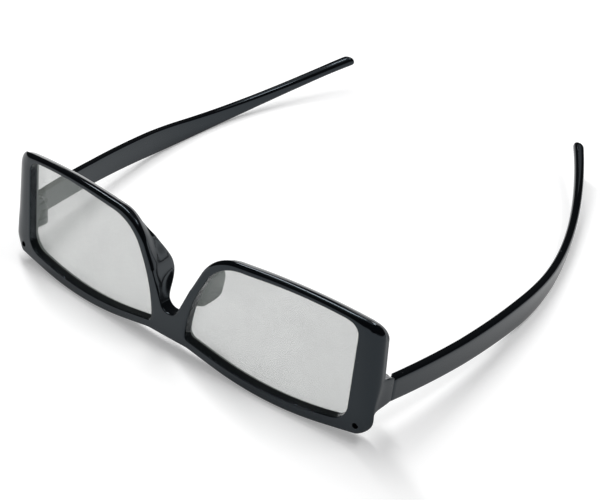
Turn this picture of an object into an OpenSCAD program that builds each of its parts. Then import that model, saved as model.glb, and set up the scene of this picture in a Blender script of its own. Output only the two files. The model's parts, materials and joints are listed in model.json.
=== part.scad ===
// Moulded passive 3D glasses, lying upside down on the brow edge and the bend of both temples.
// The pieces are drawn square to the front: X along the front, Y back towards the ears, Z from
// the brow down to the cheek. lay_down() then tips them on to the table that they rest on.
// The wearer's left is at -X. Each piece is drawn on the right, and mirrored for the left.

/* [Front] */
// Width across the brow corners
front_w = 139; // [130:1:150]
// Height from the brow edge to the cheek edge
front_h = 40; // [37:0.5:46]
// Depth of the rims from front to back
rim_depth = 4.4; // [4.2:0.1:6]
// Radius that the front wraps to, seen from above
wrap_r = 600; // [400:10:900]
// How much each side leans in from the brow to the cheek edge
side_lean = 2; // [1:0.1:4]
// Height of the brow edge at the bridge, above its lowest stretch
brow_rise = 3.8; // [2.8:0.1:4.5]
// Distance from the brow corner in to the lowest stretch of the brow
brow_low_in = 33.4; // [28:0.2:38]
// Height of the brow corners above that stretch
brow_end_rise = 3.9; // [3:0.1:5]
// How far below that stretch the straight runs of the brow would meet
brow_dip = 1.6; // [1:0.1:2.2]
// Width of the straight stretch of brow under the bridge
brow_flat_w = 15; // [11:0.5:18]
// How far the cheek edge falls from its highest stretch to the corners
cheek_fall = 1.9; // [1.2:0.1:3]
// Distance from the brow corner in to the highest stretch of the cheek edge
cheek_top_in = 24.3; // [20:0.1:28]
// How far above that stretch the straight runs of the cheek edge would meet
cheek_crown = 0.8; // [0.4:0.1:1.2]
// Slant of the front when the glasses rest on the table
rest_tilt = 8.2; // [7:0.1:10]

/* [Rims] */
// Height of the rim along the brow
brow_rim = 2.8; // [2.5:0.1:4]
// Height of that rim at the outer corner
brow_rim_out = 3.4; // [2.8:0.1:4.5]
// Height of the rim along the cheek edge
cheek_rim = 2.2; // [2:0.1:3.5]
// Height of that rim at the outer corner
cheek_rim_out = 2; // [1.8:0.1:3]
// Width of the rim at the outer side, at the brow
side_rim = 7.7; // [7:0.1:8.5]
// Width of the rim at the outer side, at the cheek edge
side_rim_top = 5.8; // [5:0.1:7]
// Width of the rim beside the notch
nose_rim = 2.4; // [2.2:0.1:3.2]
// Width of the rim where the notch meets the cheek edge
mouth_rim = 2.9; // [2.5:0.1:3.5]
// Width between the lens openings at the brow
lens_gap_w = 12.9; // [11.5:0.1:15]
// Height above the notch floor at which the openings start to lean apart
lens_lean_up = 5.6; // [4.5:0.1:6.5]
// Depth of the groove that holds the lens edge
groove_bite = 0.8; // [0.5:0.1:1]
// Distance from the front face to the groove
groove_front = 2.8; // [2:0.1:2.9]
// How far the back of each brow corner is hollowed inwards
hollow_in = 3.5; // [2:0.1:4]
// Distance from the front face to that hollow
hollow_from = 0.8; // [0.6:0.1:1.4]
// How far below the temple that hollow reaches its full height
hollow_drop = 3.6; // [2:0.1:5]
// Diameter of the blind dimple in each brow corner
dimple_d = 1.8; // [1:0.1:2.2]
// Depth of that dimple
dimple_depth = 0.8; // [0.4:0.1:1.5]
// Distance of the dimple from the side of the front
dimple_in = 4.6; // [3:0.1:5.2]
// Height of the dimple above the brow corner
dimple_up = 1.9; // [1.4:0.1:3]

/* [Nose] */
// Height of the bridge between brow edge and notch
bridge_h = 8.3; // [7:0.1:10]
// Width of the notch at its floor
notch_floor_w = 4.6; // [4:0.2:6]
// Width of the notch at the knee of its sides
notch_knee_w = 14.4; // [13:0.2:16]
// Height of that knee above the notch floor
notch_knee_up = 11.4; // [9:0.2:13]
// Width of the notch at the cheek edge
notch_mouth_w = 28.6; // [26:0.2:32]
// Distance that each nose rest reaches behind the front face
rest_reach = 11.2; // [9:0.2:12.6]
// Thickness of a nose rest
rest_t = 2; // [1.6:0.1:2.2]
// Angle at which the nose rests splay apart towards the face
rest_splay = 12; // [5:1:16]
// Height above the notch floor at which a nose rest starts
rest_up = 2; // [1:0.1:3]
// Distance from the height of the cheek corners down to its upper end
rest_top_in = 4.1; // [3:0.1:6]
// Share of its height over which it rises to its full reach
rest_ramp = 0.32; // [0.25:0.01:0.4]
// Share of its height over which it falls back to the rim again
rest_fall = 0.57; // [0.45:0.01:0.58]

/* [Rounding] */
// Radius at each end of the straight brow under the bridge
brow_flat_r = 14; // [8:1:20]
// Radius of the brow corners, and of the lens openings there
brow_corner_r = 5.5; // [4:0.1:6]
// Radius of the cheek corners, and of the lens openings there
cheek_corner_r = 5.5; // [3:0.1:6]
// Radius of the cheek edge, and of the lens openings there
cheek_r = 170; // [120:5:220]
// Radius where the notch meets the cheek edge, and of the lens openings there
mouth_r = 14; // [10:0.5:16]
// Radius at the knee of the notch
knee_r = 45; // [30:1:60]
// Radius at each side of the notch floor
floor_r = 3.2; // [2:0.1:3.5]
// Radius of the lens openings beside the bridge
lens_bridge_r = 1.8; // [1:0.1:3]
// Radius of the lens openings where they start to lean apart
lens_lean_r = 46; // [30:1:50]
// Radius of the nose rests, seen from the side
rest_r = 3.8; // [2:0.1:5]
// Radius of the end pieces, seen from the side
end_r = 2; // [1:0.1:2.5]
// Radius at which the front rounds back into each end
wrap_end_r = 2; // [1:0.1:3]

/* [Lenses] */
// Thickness of the carrier sheet
sheet_t = 0.4; // [0.3:0.05:0.5]
// Thickness of the polariser film
polariser_t = 0.2; // [0.1:0.05:0.25]
// Thickness of the quarter-wave film
retarder_t = 0.2; // [0.1:0.05:0.25]
// Play of the lens in its groove, at its edge and in front of and behind it
lens_play = 0.05; // [0.02:0.01:0.1]

/* [Temples] */
// Distance from the front to the tip of a temple
temple_reach = 157; // [150:1:165]
// How far a temple's outer face stands outside the brow corner at the hinge
arm_out = 0.3; // [0.1:0.1:1.5]
// Distance from the front to the place where the temples are widest apart
bow_at = 72; // [66:1:78]
// Radius of the temple's bow ahead of the widest place
bow_r = 285; // [260:5:400]
// Radius of the temple's bow behind it
ear_bow_r = 145; // [135:5:180]
// Thickness of a temple
temple_t = 2.6; // [2.4:0.1:3.4]
// Thickness of the ear piece at its tip
ear_t = 3.2; // [2.6:0.1:3.8]
// Height of a temple at the hinge
temple_h = 7.9; // [7.4:0.1:9]
// Distance from the front at which a temple starts to swell
swell_from = 42; // [30:1:55]
// How far it swells on the brow side
belly = 0.5; // [0.2:0.1:0.8]
// Height that a temple swells to at the bow
swell_h = 9; // [8.6:0.1:10]
// How far that height drops again before the ear piece
swell_drop = 0.2; // [0.1:0.1:0.6]
// Radius at each end of the swelling
swell_r = 60; // [30:5:80]
// Height of the ear piece
ear_h = 3.5; // [3:0.1:4.5]
// Distance from the front to the middle of the ear bend
bend_at = 109.5; // [105:0.5:114]
// Angle of the ear bend
ear_angle = 24.5; // [20:0.5:27]
// Radius of the ear bend, on the brow side
bend_r = 180; // [140:5:200]
// Radius of the ear bend, on the cheek side
neck_r = 145; // [110:5:165]

/* [Hinges] */
// Distance from the front to the joint between end piece and temple
hinge_at = 12; // [11:0.5:14]
// How far the end piece flares past the temple on the brow side
flare_brow = 0.8; // [0.6:0.1:1.2]
// How far the end piece flares past the temple on the cheek side
flare_cheek = 1.5; // [1:0.1:4]
// Diameter of the hinge barrel
barrel_d = 4.4; // [4:0.1:5]
// Height of the hinge barrel
barrel_h = 8.2; // [7:0.1:9]
// How far the barrel stands past the brow side of the temple
barrel_drop = 1.6; // [0.5:0.1:2.5]
// Distance from the pin's axis to the inner face of the temple
pin_inset = 1.1; // [0.8:0.1:1.4]
// Height of the middle knuckle on the temple
knuckle_h = 2.8; // [2:0.1:3.4]
// Length of the web between knuckle and temple
web_l = 3.1; // [2.8:0.1:4]
// Diameter of the hinge pin
pin_d = 1.5; // [1.2:0.1:1.8]
// Diameter of the pin's head
pin_head_d = 2.6; // [2.2:0.1:3]
// Height of the pin's head
pin_head_h = 0.5; // [0.3:0.1:0.7]
// Radial play of the knuckle on the pin
pin_play = 0.05; // [0.02:0.01:0.08]
// Play around the knuckle and barrel, and at the joint of end piece and temple
hinge_play = 0.15; // [0.1:0.05:0.3]

/* [Hidden] */

plastic = "#1f2224";
lens_grey = [0.66, 0.68, 0.66, 0.6];
steel = "#b4b7ba";

// Cutting bodies reach this far past what they cut
over = 1;
// Shapes that grow out of the rims start this far inside them
sink = 0.4;
// Straight steps on each rounded corner of an outline
corner_steps = 8;
// Most of a side that the roundings at its two ends may take up together
arc_share = 0.99;
// Share of the ear piece's height that its tip rounds off
tip_round = 0.98;
// Sides of the large arcs
arc_fn = 720;
$fn = 64;

// Corners of [x, z, radius] of the front's outline, right half, from the bridge round to the notch
half_w = front_w / 2;
brow_low_x = half_w - brow_low_in;
brow_slope_in = (brow_rise + brow_dip) / (brow_low_x - brow_flat_w / 2);
brow_slope_out = (brow_end_rise + brow_dip) / brow_low_in;
function lag(slope) = sqrt(1 + slope * slope) - 1;
brow_r = brow_dip * (brow_slope_in + brow_slope_out)
    / (brow_slope_in * lag(brow_slope_out) + brow_slope_out * lag(brow_slope_in));
brow_touch_x = brow_low_x + (brow_r * lag(brow_slope_in) - brow_dip) / brow_slope_in;
cheek_top_x = half_w - cheek_top_in;
cheek_top_z = front_h + cheek_crown;
cheek_corner_x = half_w - side_lean;
cheek_corner_z = front_h - cheek_fall;
mouth_x = notch_mouth_w / 2;
knee_x = notch_knee_w / 2;
floor_x = notch_floor_w / 2;
floor_z = brow_rise + bridge_h;
knee_z = floor_z + notch_knee_up;
notch_knee = [knee_x, knee_z, knee_r];
notch_floor = [floor_x, floor_z, floor_r];
front_half = [
    [brow_flat_w / 2, brow_rise, brow_flat_r],
    [brow_low_x, -brow_dip, brow_r],
    [half_w, brow_end_rise, brow_corner_r],
    [cheek_corner_x, cheek_corner_z, cheek_corner_r],
    [cheek_top_x, cheek_top_z, cheek_r],
    [mouth_x, cheek_corner_z, mouth_r],
    notch_knee,
    notch_floor
];

// Corners of the right lens opening, a rim's width inside the straight runs of that outline
function along(from, to, share) = from + (to - from) * share;
opening_brow_x = half_w - side_rim;
opening_brow_z = brow_end_rise - brow_slope_out * side_rim + brow_rim_out;
opening_cheek_x = cheek_corner_x - side_rim_top;
cheek_slope = (cheek_top_z - cheek_corner_z) / (cheek_corner_x - cheek_top_x);
opening_cheek_z = cheek_corner_z + cheek_slope * side_rim_top - cheek_rim_out;
opening_mouth_z = cheek_corner_z - cheek_rim;
opening_mouth_x = mouth_rim
    + along(knee_x, mouth_x, (opening_mouth_z - knee_z) / (cheek_corner_z - knee_z));
lens_lean_x = along(floor_x, knee_x, lens_lean_up / notch_knee_up) + nose_rim;
opening = [
    [lens_gap_w / 2, brow_rise + brow_rim, lens_bridge_r],
    [brow_low_x, brow_rim - brow_dip, brow_r],
    [opening_brow_x, opening_brow_z, brow_corner_r],
    [opening_cheek_x, opening_cheek_z, cheek_corner_r],
    [cheek_top_x, cheek_top_z - cheek_rim, cheek_r],
    [opening_mouth_x, opening_mouth_z, mouth_r],
    [lens_lean_x, floor_z + lens_lean_up, lens_lean_r]
];
groove_t = retarder_t + polariser_t + sheet_t + 2 * lens_play;
dimple_x = half_w - dimple_in;
dimple_z = brow_end_rise + dimple_up;

// How the glasses rest: the brow's back edge and the ear bend touch the table together
function wrap_y(x, depth) = wrap_r - sqrt(pow(wrap_r - depth, 2) - x * x);
rest_z = -wrap_y(brow_touch_x, rim_depth) * sin(rest_tilt);
bend_start = bend_at - bend_r * tan(ear_angle / 2);
touch_y = bend_start + bend_r * sin(rest_tilt);
touch_z = (rest_z + touch_y * sin(rest_tilt)) / cos(rest_tilt);
belly_z = touch_z - bend_r * (1 - cos(rest_tilt));
arm_low = belly_z + belly;
arm_top = arm_low + temple_h;

// Ear piece: its centre line leaves the bend at ear_angle, and the tip is a half circle
tip_r = ear_h / 2 * tip_round;
tip_y = temple_reach - tip_r;
ear_run = (tip_y - bend_at + ear_h / 2 * sin(ear_angle)) / cos(ear_angle);
ear_end = ear_run + tip_r;
tip_z = belly_z + ear_run * sin(ear_angle) + ear_h / 2 * cos(ear_angle);

// The origin is under the middle of the glasses as they lie
front_most_y = brow_rise * sin(rest_tilt);
back_most_y = tip_y * cos(rest_tilt) + tip_z * sin(rest_tilt) + tip_r;
middle_y = (front_most_y + back_most_y) / 2;

// Temple's bow and hinge, on the right
bow_x = half_w + arm_out + bow_r - sqrt(pow(bow_r + temple_t, 2) - pow(bow_at - hinge_at, 2));
function arm_x(y, out) = bow_x - bow_r + sqrt(pow(bow_r + out, 2) - pow(bow_at - y, 2));
ear_l = temple_reach - bow_at;
ear_in = ear_bow_r - sqrt(pow(ear_bow_r, 2) - pow(ear_l, 2));
ear_out = ear_in + temple_t - ear_t / cos(asin(ear_l / ear_bow_r));
ear_outer_r = (pow(ear_l, 2) + pow(ear_out, 2)) / (2 * ear_out);
pin_x = arm_x(hinge_at, 0) - pin_inset;
barrel_low = arm_low - barrel_drop;
barrel_top = barrel_low + barrel_h;
knuckle_low = barrel_low + (barrel_h - knuckle_h) / 2;
knuckle_top = knuckle_low + knuckle_h;
barrel_room = barrel_d + 2 * hinge_play;
block_x = pin_x - barrel_d / 2;
end_face = hinge_at - hinge_play / 2;
arm_face = hinge_at + hinge_play / 2;
rim_back_y = wrap_y(half_w, rim_depth) - sink;
root_y = rim_back_y - rim_depth / 2;

// Points of a closed outline whose corners [x, y, radius] are rounded, or sharp where radius is 0.
// Where two roundings want more than the side between them, both give way in proportion.
function unit(v) = v / norm(v);
function around(corners, i) = corners[(i + len(corners)) % len(corners)];
function side(corners, i) =
    let (from = around(corners, i), to = around(corners, i + 1))
    [to.x - from.x, to.y - from.y];
function half_angle(corners, i) = acos(-unit(side(corners, i - 1)) * unit(side(corners, i))) / 2;
function wanted(corners, i) = around(corners, i).z / tan(half_angle(corners, i));
function granted(corners, i) =
    let (ends = wanted(corners, i) + wanted(corners, i + 1))
    ends == 0 ? 1 : min(1, arc_share * norm(side(corners, i)) / ends);
function corner_arc(corners, i) =
    let (
        at = [corners[i].x, corners[i].y],
        back = -unit(side(corners, i - 1)),
        on = unit(side(corners, i)),
        half = half_angle(corners, i),
        run = wanted(corners, i) * min(granted(corners, i - 1), granted(corners, i)),
        radius = run * tan(half),
        centre = at + unit(back + on) * radius / sin(half),
        from = at + back * run - centre,
        turn = cross(back, on) > 0 ? -1 : 1,
        start = atan2(from.y, from.x)
    )
    run == 0 ? [at] :
    [for (k = [0:corner_steps])
        let (angle = start + turn * (180 - 2 * half) * k / corner_steps)
        centre + radius * [cos(angle), sin(angle)]];
function rounded(corners) = [for (i = [0:len(corners) - 1]) each corner_arc(corners, i)];
function mirrored(corners) =
    [for (i = [len(corners) - 1:-1:0]) [-corners[i].x, corners[i].y, corners[i].z]];

// Placing and repeating
module lay_down() translate([0, -middle_y, -rest_z]) rotate([-rest_tilt, 0, 0]) children();
module on_left() mirror([1, 0, 0]) children();
module both_sides() {
    children();
    on_left() children();
}

// A flat shape in X and Z, drawn through from y = from to y = to
module through_y(from, to) translate([0, to, 0]) rotate([90, 0, 0]) linear_extrude(to - from) children();
// A flat shape in Y and Z, drawn through from x = from to x = to
module through_x(from, to)
    translate([from, 0, 0]) rotate([90, 0, 90]) linear_extrude(to - from) children();
// A round bar on the hinge's axis
module bar(d, low, top) translate([pin_x, hinge_at, low]) cylinder(d = d, h = top - low);

// The curved layer between two depths behind the front face
module wrap_layer(front, back) {
    translate([0, wrap_r, -2 * over]) difference() {
        cylinder(r = wrap_r - front, h = front_h + 4 * over, $fn = arc_fn);
        translate([0, 0, -over]) cylinder(r = wrap_r - back, h = front_h + 6 * over, $fn = arc_fn);
    }
}
// The part of a curved layer that lies behind a flat shape in X and Z
module curved_plate(front, back) {
    intersection() {
        wrap_layer(front, back);
        through_y(front - over, wrap_y(half_w, back) + over) children();
    }
}

// Both rims and the bridge, with the lens openings
module rims() {
    difference() {
        curved_plate(0, rim_depth) polygon(rounded(concat(front_half, mirrored(front_half))));
        both_sides() {
            through_y(-over, wrap_y(half_w, rim_depth) + over) polygon(rounded(opening));
            corner_hollow();
        }
    }
}

// The hollow behind a brow corner, under the end piece
module corner_hollow() {
    from = wrap_y(half_w, 0) + hollow_from;
    to = wrap_y(half_w, rim_depth);
    intersection() {
        translate([0, 0, -2 * over]) linear_extrude(front_h) polygon([
            [half_w + over, from],
            [half_w, from],
            [half_w - hollow_in, to + over],
            [half_w + over, to + over]
        ]);
        through_x(half_w - hollow_in - over, half_w + 2 * over) polygon([
            [from - over, -2 * over],
            [from - over, arm_low - hollow_drop],
            [from, arm_low - hollow_drop],
            [to, arm_low],
            [to + 2 * over, arm_low],
            [to + 2 * over, -2 * over]
        ]);
    }
}

// The notch between the rims, drawn on past the cheek edge
module notch_shape() {
    flare = [2 * mouth_x - knee_x, 2 * cheek_corner_z - knee_z, 0];
    half_notch = [flare, notch_knee, notch_floor];
    polygon(rounded(concat(half_notch, mirrored(half_notch))));
}

// One wing of the nose rest: a band beside the notch that splays towards the face
module nose_rest() {
    low = floor_z + rest_up;
    top = cheek_corner_z - rest_top_in;
    tall = top - low;
    front_y = groove_front / 2;
    ramp_y = rim_depth - sink;
    intersection() {
        translate([knee_x, front_y, 0]) rotate([0, 0, -rest_splay]) translate([-knee_x, -front_y, 0])
            difference() {
                through_y(front_y, rest_reach + 3 * over) offset(delta = rest_t) notch_shape();
                through_y(front_y - over, rest_reach + 4 * over) notch_shape();
            }
        through_x(floor_x / 2, mouth_x + rest_reach) polygon(rounded([
            [front_y, low, 0],
            [ramp_y, low, 0],
            [rest_reach, low + rest_ramp * tall, rest_r],
            [rest_reach, top - rest_fall * tall, rest_r],
            [ramp_y, top, 0],
            [front_y, top, 0]
        ]));
    }
}

// The end piece that carries the front back to the hinge
module end_piece() {
    step_y = (rim_back_y + end_face) / 2;
    intersection() {
        linear_extrude(front_h) polygon([
            [block_x, root_y],
            [half_w - side_lean / 2, root_y],
            [arm_x(end_face, temple_t), end_face],
            [block_x, end_face]
        ]);
        through_x(block_x - over, half_w + arm_out + over) polygon(rounded([
            [root_y - over, arm_low - flare_brow, 0],
            [rim_back_y, arm_low - flare_brow, end_r],
            [step_y, arm_low, end_r],
            [end_face, arm_low, 0],
            [end_face, arm_top, 0],
            [step_y, arm_top, end_r],
            [rim_back_y, arm_top + flare_cheek, end_r],
            [root_y - over, arm_top + flare_cheek, 0]
        ]));
    }
}

// The two lugs on the end piece, one each side of the temple's knuckle
module hinge_lugs() {
    for (span = [[barrel_low, knuckle_low - hinge_play], [knuckle_top + hinge_play, barrel_top]]) {
        bar(barrel_d, span[0], span[1]);
        translate([block_x, root_y, span[0]]) cube([barrel_d, hinge_at - root_y, span[1] - span[0]]);
    }
}

// What the end of the front loses where its face rounds back into the side
module end_rounding() {
    middle = [half_w - wrap_end_r, wrap_y(half_w - wrap_end_r, wrap_end_r)];
    start = [0, wrap_r] + (middle - [0, wrap_r]) * wrap_r / (wrap_r - wrap_end_r);
    tall = front_h + 4 * over;
    rise = cheek_corner_z - brow_end_rise;
    forward = wrap_y(half_w, 0) - wrap_y(cheek_corner_x, 0);
    translate([half_w, 0, brow_end_rise]) rotate([atan(forward / rise), -atan(side_lean / rise), 0])
        translate([-half_w, 0, -brow_end_rise - 2 * over]) difference() {
            linear_extrude(tall) polygon([
                middle,
                start,
                [start.x, -over],
                [half_w + 2 * over, -over],
                [half_w + 2 * over, middle.y]
            ]);
            translate([middle.x, middle.y, -over]) cylinder(r = wrap_end_r, h = tall + 2 * over);
        }
}

// What is cut out of the right half of the front
module front_cuts() {
    end_rounding();
    curved_plate(groove_front, groove_front + groove_t)
        offset(delta = groove_bite) polygon(rounded(opening));
    bar(pin_d, barrel_low - over, barrel_top + over);
    bar(barrel_room, knuckle_low - hinge_play, knuckle_top + hinge_play);
    bar(pin_head_d + 2 * hinge_play, barrel_top, arm_top + flare_cheek + over);
    translate([dimple_x, wrap_y(dimple_x, 0) + dimple_depth, dimple_z])
        rotate([90, 0, 0]) cylinder(d = dimple_d, h = dimple_depth + 2 * over);
}

module front_frame() {
    color(plastic) difference() {
        union() {
            rims();
            both_sides() {
                nose_rest();
                end_piece();
                hinge_lugs();
            }
        }
        both_sides() front_cuts();
    }
}

// Lens layers, from the front: quarter-wave film, polariser film, carrier sheet
module lens_layer(depth, thickness) {
    color(lens_grey) curved_plate(depth, depth + thickness)
        offset(delta = groove_bite - lens_play) polygon(rounded(opening));
}
module retarder_film() lens_layer(groove_front + lens_play, retarder_t);
module polariser_film() lens_layer(groove_front + lens_play + retarder_t, polariser_t);
module lens_sheet() lens_layer(groove_front + lens_play + retarder_t + polariser_t, sheet_t);

module hinge_pin() {
    color(steel) {
        bar(pin_d, barrel_low, barrel_top + pin_head_h);
        bar(pin_head_d, barrel_top, barrel_top + pin_head_h);
    }
}

// Side view of a temple in Y and Z: arm, swelling, ear bend and round tip
module temple_side() {
    onward = [cos(ear_angle), sin(ear_angle)];
    upward = [-sin(ear_angle), cos(ear_angle)];
    bend = [bend_at, belly_z];
    low_end = bend + onward * ear_end;
    top_end = low_end + upward * ear_h;
    ear_top = bend + upward * ear_h;
    swell_z = belly_z + swell_h;
    neck_z = swell_z - swell_drop;
    neck_y = ear_top.x + (neck_z - ear_top.y) / tan(ear_angle);
    polygon(rounded([
        [arm_face, arm_low, 0],
        [swell_from, belly_z, swell_r],
        [bend_at, belly_z, bend_r],
        [low_end.x, low_end.y, tip_r],
        [top_end.x, top_end.y, tip_r],
        [neck_y, neck_z, neck_r],
        [bow_at, swell_z, swell_r],
        [swell_from, arm_top, swell_r],
        [arm_face, arm_top, 0]
    ]));
}

// Plan of a temple: one arc ahead of its widest place and a tighter one behind it
module temple_bow(inner_r, outer_r, from, to) {
    tall = front_h + temple_reach;
    intersection() {
        difference() {
            translate([bow_x + temple_t - outer_r, bow_at, 0])
                cylinder(r = outer_r, h = tall, $fn = arc_fn);
            translate([bow_x - inner_r, bow_at, -over])
                cylinder(r = inner_r, h = tall + 2 * over, $fn = arc_fn);
        }
        translate([0, from, 0]) cube([bow_x + 2 * temple_t, to - from, tall]);
    }
}

// The arm, cleared for the barrel, and the middle knuckle with its web
module temple() {
    color(plastic) difference() {
        union() {
            difference() {
                intersection() {
                    through_x(over, bow_x + 2 * temple_t) temple_side();
                    union() {
                        temple_bow(bow_r, bow_r + temple_t, 0, bow_at);
                        temple_bow(ear_bow_r, ear_outer_r, bow_at, temple_reach + over);
                    }
                }
                bar(barrel_room, arm_low - over, arm_top + over);
            }
            bar(barrel_d, knuckle_low, knuckle_top);
            translate([pin_x, arm_face, knuckle_low]) cube([pin_inset + temple_t / 2, web_l, knuckle_h]);
        }
        bar(pin_d + 2 * pin_play, knuckle_low - over, knuckle_top + over);
    }
}

lay_down() front_frame();
lay_down() on_left() retarder_film();  // left_retarder_film
lay_down() on_left() polariser_film();  // left_polariser_film
lay_down() on_left() lens_sheet();  // left_lens_sheet
lay_down() retarder_film();  // right_retarder_film
lay_down() polariser_film();  // right_polariser_film
lay_down() lens_sheet();  // right_lens_sheet
lay_down() on_left() hinge_pin();  // left_hinge_pin
lay_down() hinge_pin();  // right_hinge_pin
lay_down() on_left() temple();  // left_temple
lay_down() temple();  // right_temple
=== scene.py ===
"""Looks of a pair of moulded 3D glasses that lie upside down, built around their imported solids."""

import json
from bisect import bisect_right
from math import asin, atan2, cos, pi, radians, sin, sqrt, tan

import bpy
from mathutils import Matrix, Vector


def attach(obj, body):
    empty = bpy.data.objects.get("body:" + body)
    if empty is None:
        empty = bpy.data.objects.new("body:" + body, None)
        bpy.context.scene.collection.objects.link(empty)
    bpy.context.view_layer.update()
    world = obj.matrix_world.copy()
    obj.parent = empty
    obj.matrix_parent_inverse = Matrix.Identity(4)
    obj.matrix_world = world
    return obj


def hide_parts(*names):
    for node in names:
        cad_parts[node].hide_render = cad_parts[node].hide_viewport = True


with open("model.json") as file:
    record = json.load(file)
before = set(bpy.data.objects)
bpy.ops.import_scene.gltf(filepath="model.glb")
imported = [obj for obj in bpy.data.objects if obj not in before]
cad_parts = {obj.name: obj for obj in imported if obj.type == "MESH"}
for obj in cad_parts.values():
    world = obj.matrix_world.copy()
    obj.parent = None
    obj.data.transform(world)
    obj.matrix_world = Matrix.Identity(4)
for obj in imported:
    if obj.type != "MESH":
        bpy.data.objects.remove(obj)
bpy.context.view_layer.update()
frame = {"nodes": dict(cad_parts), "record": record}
record = frame["record"]

MM = 0.001

# Front, in millimetres: X along it, Y back towards the ears, Z from the brow to the cheek
FRONT_W = 139
FRONT_H = 40
RIM_DEPTH = 4.4
WRAP_R = 600
SIDE_LEAN = 2
BROW_RISE = 3.8
BROW_LOW_IN = 33.4
BROW_END_RISE = 3.9
BROW_DIP = 1.6
BROW_FLAT_W = 15
CHEEK_FALL = 1.9
CHEEK_TOP_IN = 24.3
CHEEK_CROWN = 0.8

# Rims round the lenses
BROW_RIM = 2.8
BROW_RIM_OUT = 3.4
CHEEK_RIM = 2.2
CHEEK_RIM_OUT = 2
SIDE_RIM = 7.7
SIDE_RIM_TOP = 5.8
NOSE_RIM = 2.4
MOUTH_RIM = 2.9
LENS_GAP_W = 12.9
LENS_LEAN_UP = 5.6
GROOVE_BITE = 0.8
GROOVE_FRONT = 2.8
LENS_PLAY = 0.05
RETARDER_T = 0.2
POLARISER_T = 0.2
SHEET_T = 0.4
HOLLOW_IN = 3.5
HOLLOW_FROM = 0.8
HOLLOW_DROP = 3.6
DIMPLE_IN = 4.6
DIMPLE_UP = 1.9
DIMPLE_D = 1.8
DIMPLE_DEPTH = 0.8

# Nose notch and rests
BRIDGE_H = 8.3
NOTCH_FLOOR_W = 4.6
NOTCH_KNEE_W = 14.4
NOTCH_KNEE_UP = 11.4
NOTCH_MOUTH_W = 28.6
REST_REACH = 11.2
REST_T = 2
REST_SPLAY = 12
REST_FROM = 1.4
REST_UP = 2
REST_TOP_IN = 1.8
REST_RAMP = 0.34
REST_FALL = 0.61
REST_ROOT = 1.4

# Roundings of the outlines
BROW_FLAT_R = 14
BROW_CORNER_R = 5.5
CHEEK_CORNER_R = 5.5
CHEEK_R = 170
MOUTH_R = 14
KNEE_R = 45
FLOOR_R = 3.2
LENS_BRIDGE_R = 1.8
LENS_LEAN_R = 46

# Edges of the moulding
EDGE_R = 0.35
BACK_EDGE_R = 0.4
LENS_EDGE_R = 0.25
ROLL_IN = 5
ROLL_SHARE = 0.8
ROLL_DEEP = 1.4
SIDE_ROLL_DEEP = 2.6
SIDE_ROLL_RUN = 9
SIDE_SWELL = 0.6
TOP_ROLL = 0.75
ROLL_SPAN = (48, 65)
TOP_CROWN = 1.3
CROWN_RUN = 7

# Temples
TEMPLE_REACH = 157
ARM_OUT = 0.3
BOW_AT = 72
BOW_R = 285
EAR_BOW_R = 145
TEMPLE_T = 2.6
EAR_T = 3.2
TEMPLE_H = 7.9
SWELL_FROM = 42
BELLY = 0.5
SWELL_H = 9
SWELL_DROP = 0.2
SWELL_R = 60
EAR_H = 3.5
BEND_AT = 109.5
EAR_ANGLE = 24.5
BEND_R = 180
NECK_R = 145

# Hinges
HINGE_AT = 12
FLARE_BROW = 0.8
FLARE_CHEEK = 1.5
BARREL_D = 4.4
BARREL_H = 8.2
BARREL_DROP = 1.6
PIN_INSET = 1.1
KNUCKLE_H = 2.8
WEB_L = 3.1
HINGE_PLAY = 0.15
LUG_ROOT = 3.5
LUG_CHAMFER = 0.3

# How the glasses lie: the tilt comes from the hinge's axis, the place from the bridge
fold = next(joint for joint in record["behaviour"]["joints"] if joint["name"] == "right_fold")
TILT = atan2(fold["axis"][1], fold["axis"][2])
bridge = next(mount for mount in record["mounts"] if mount["name"] == "bridge_face")
LAY_DOWN = Matrix.Rotation(-TILT, 4, "X")
BRIDGE_MIDDLE = LAY_DOWN @ Vector((0, RIM_DEPTH / 2, BROW_RISE))
OFFSET = Vector(bridge["pos_m"]) / MM - BRIDGE_MIDDLE


def placed(x, y, z):
    """A point of the glasses' own axes, in millimetres, as it lies on the table, in metres."""
    return (LAY_DOWN @ Vector((x, y, z)) + OFFSET) * MM


# Outlines

ARC_STEPS = 96
SPOT_STEPS = 1500
NEAR_STEPS = 400
NEAR_STEP = 0.05
OUTWARD_REACH = 0.4
FILLET_ROOM = 0.99
SAME_SPOT = 1e-6


def rounded(corners):
    """Points of a closed outline with rounded corners [x, z, radius], sharp where the radius is 0."""
    count = len(corners)
    spots = [Vector(corner[:2]) for corner in corners]
    sides = [spots[(i + 1) % count] - spots[i] for i in range(count)]
    halves = [(-sides[i - 1]).angle(sides[i]) / 2 for i in range(count)]
    wanted = [corners[i][2] / tan(halves[i]) for i in range(count)]
    share = []
    for i in range(count):
        ends = wanted[i] + wanted[(i + 1) % count]
        share.append(min(1, FILLET_ROOM * sides[i].length / ends) if ends else 1)
    points = []
    for i in range(count):
        run = wanted[i] * min(share[i - 1], share[i])
        if run == 0:
            points.append(spots[i])
            continue
        back, on = -sides[i - 1].normalized(), sides[i].normalized()
        radius = run * tan(halves[i])
        middle = spots[i] + (back + on).normalized() * radius / sin(halves[i])
        spoke = spots[i] + back * run - middle
        turn = (pi - 2 * halves[i]) * (-1 if back.cross(on) > 0 else 1)
        for step in range(ARC_STEPS + 1):
            points.append(middle + Matrix.Rotation(turn * step / ARC_STEPS, 2) @ spoke)
    return points


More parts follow.
